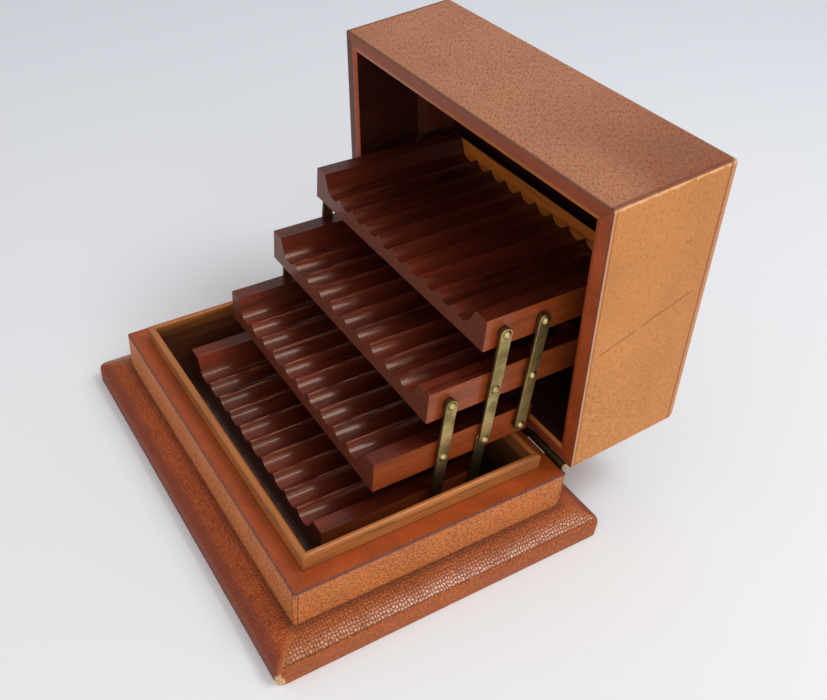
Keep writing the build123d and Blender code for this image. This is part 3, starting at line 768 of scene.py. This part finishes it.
class CASE_OT_dress_lid(bpy.types.Operator):
    """Covers the lid in bleached leather full of pores, smooth round its mouth, over dark wood"""

    bl_idname = "case.dress_lid"
    bl_label = "Lid"

    def execute(self, context):
        leather = context.scene.case_leather
        wood = context.scene.case_wood
        assign(faded_leather("lid_leather", leather), "lid_leather")
        assign(smooth_leather("lid_rim", leather, True, leather.mouth, 0.45), "lid_rim_band")
        dark = darker(wood.inside, 0.5)
        inside = plain_wood("lid_wood", wood.inside, dark, BOARD_GRAIN, turned=True)
        assign(inside, "lid_walls", "lid_top_board", "lid_lining")
        block = plain_wood(
            "block_wood", wood.block, wood.inside, BLOCK_GRAIN, turned=True, gloss=0.45, coat=0.1
        )
        assign(block, "lid_side_block_left", "lid_side_block_right")
        return {"FINISHED"}


class CASE_OT_dress_trays(bpy.types.Operator):
    """Polishes the four grooved trays and their strips"""

    bl_idname = "case.dress_trays"
    bl_label = "Trays"

    def execute(self, context):
        wood = context.scene.case_wood
        for number in TRAYS:
            # Lower trays are painted brighter in front and along their ridges, as painted light,
            # since the higher trays lie deeper in the lid's shade; and each is cut from another place
            # of the wood
            tray_light = 1.6 - number * 0.27
            front_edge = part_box(f"tray_{number}")[0].y
            board = tray_wood(f"tray_{number}_wood", wood, number * 0.21, front_edge, tray_light)
            assign(board, f"tray_{number}")
        golden = plain_wood("golden_strip_wood", wood.strip, darker(wood.strip, 0.5), ALONG_WIDTH)
        assign(golden, f"tray_{TRAYS[-1]}_strip")
        stained = plain_wood("stained_strip_wood", wood.tray, wood.tray_deep, ALONG_WIDTH)
        assign(stained, *[f"tray_{number}_strip" for number in TRAYS[:-1]])
        return {"FINISHED"}


class CASE_OT_dress_brass(bpy.types.Operator):
    """Ages the brass links, rivets, plates, hinges and screws"""

    bl_idname = "case.dress_brass"
    bl_label = "Brass"

    def execute(self, context):
        look = context.scene.case_brass
        hinges = [name for name in BRASS if name.startswith("hinge_")]
        rivets = [name for name in BRASS if name.endswith("_pivots")]
        links = [name for name in BRASS if name not in hinges + rivets]
        assign(aged_brass("link_brass", look, 0.6), *links)
        assign(aged_brass("rivet_brass", look, 0.85, 0.14), *rivets)
        assign(aged_brass("hinge_brass", look, 0.7), *hinges)
        return {"FINISHED"}


class CASE_OT_set_stage(bpy.types.Operator):
    """Adds the pale floor, the soft lamps and the camera"""

    bl_idname = "case.set_stage"
    bl_label = "Stage"

    def execute(self, context):
        look = context.scene.case_stage
        bpy.ops.object.select_all(action="DESELECT")
        bpy.ops.mesh.primitive_plane_add(size=FLOOR_SIZE, location=(0, 0, 0))
        floor = context.active_object
        floor.name = "floor"
        finish = Finish("floor_paint", Roughness=0.75)
        x, y, _ = finish.split(finish.coordinates())
        # The floor is painted a little darker and bluer further away, as painted shade
        far = (y * 0.52 - x * 0.85).rise(-0.1, 0.4)
        paint = finish.blend(look.floor, look.floor_far, far)
        floor.data.materials.append(finish.feed(Base_Color=paint))

        set_world(context.scene, look)
        add_lamp("key", KEY_PLACE, 1.3, look.key_power, (1.0, 1.0, 0.985))
        add_lamp("overhead", OVERHEAD_PLACE, 0.4, look.overhead_power, (1.0, 1.0, 1.0))

        bpy.ops.object.camera_add(location=CAMERA_PLACE, rotation=CAMERA_TURN)
        camera = context.active_object
        camera.name = "camera"
        camera.data.sensor_width = 36.0
        camera.data.lens = look.focal_length
        camera.data.shift_x, camera.data.shift_y = CAMERA_SHIFT
        camera.data.clip_start = 0.01
        context.scene.camera = camera
        context.scene.view_settings.view_transform = "Standard"
        return {"FINISHED"}


def set_world(scene, look):
    """Pale light from all round, and a backdrop whose own brightness only the camera sees."""
    world = bpy.data.worlds.new("studio")
    scene.world = world
    world.use_nodes = True
    nodes = world.node_tree.nodes
    links = world.node_tree.links
    backdrop = nodes["Background"]
    backdrop.inputs["Color"].default_value = (0.96, 0.97, 1.0, 1.0)
    rays = nodes.new("ShaderNodeLightPath")
    strength = nodes.new("ShaderNodeMapRange")
    strength.inputs["To Min"].default_value = look.ambient
    strength.inputs["To Max"].default_value = look.backdrop
    links.new(rays.outputs["Is Camera Ray"], strength.inputs["Value"])
    links.new(strength.outputs["Result"], backdrop.inputs["Strength"])


def add_lamp(name, place, size, power, colour):
    """A square soft lamp at this place that faces the case."""
    way = Vector(AIM) - Vector(place)
    bpy.ops.object.light_add(
        type="AREA", location=place, rotation=way.to_track_quat("-Z", "Y").to_euler()
    )
    lamp = bpy.context.active_object
    lamp.name = name
    lamp.data.size = size
    lamp.data.energy = power
    lamp.data.color = colour


class CASE_PT_sidebar(bpy.types.Panel):
    """Lists the pieces of the case and their settings in the sidebar"""

    bl_idname = "CASE_PT_sidebar"
    bl_label = "Cigarette case"
    bl_space_type = "VIEW_3D"
    bl_region_type = "UI"
    bl_category = "Case"

    def draw(self, context):
        for operator in PIECES:
            self.layout.operator(operator.bl_idname, text=operator.bl_label)
        for group in LOOKS:
            box = self.layout.box()
            settings = getattr(context.scene, group)
            for name in settings.bl_rna.properties.keys():
                if name not in ("rna_type", "name"):
                    box.prop(settings, name)


PIECES = (
    CASE_OT_dress_foot,
    CASE_OT_dress_box,
    CASE_OT_dress_lid,
    CASE_OT_dress_trays,
    CASE_OT_dress_brass,
    CASE_OT_set_stage,
)
LOOKS = {
    "case_leather": LeatherLook,
    "case_wood": WoodLook,
    "case_brass": BrassLook,
    "case_stage": StageLook,
}


def register():
    for group in (*LOOKS.values(), *PIECES, CASE_PT_sidebar):
        bpy.utils.register_class(group)
    for name, look in LOOKS.items():
        setattr(bpy.types.Scene, name, PointerProperty(type=look))


def unregister():
    for name in LOOKS:
        delattr(bpy.types.Scene, name)
    for group in reversed((*LOOKS.values(), *PIECES, CASE_PT_sidebar)):
        bpy.utils.unregister_class(group)


def main():
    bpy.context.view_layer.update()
    register()
    bpy.ops.case.dress_foot()
    bpy.ops.case.dress_box()
    bpy.ops.case.dress_lid()
    bpy.ops.case.dress_trays()
    bpy.ops.case.dress_brass()
    bpy.ops.case.set_stage()


if __name__ == "__main__":
    main()
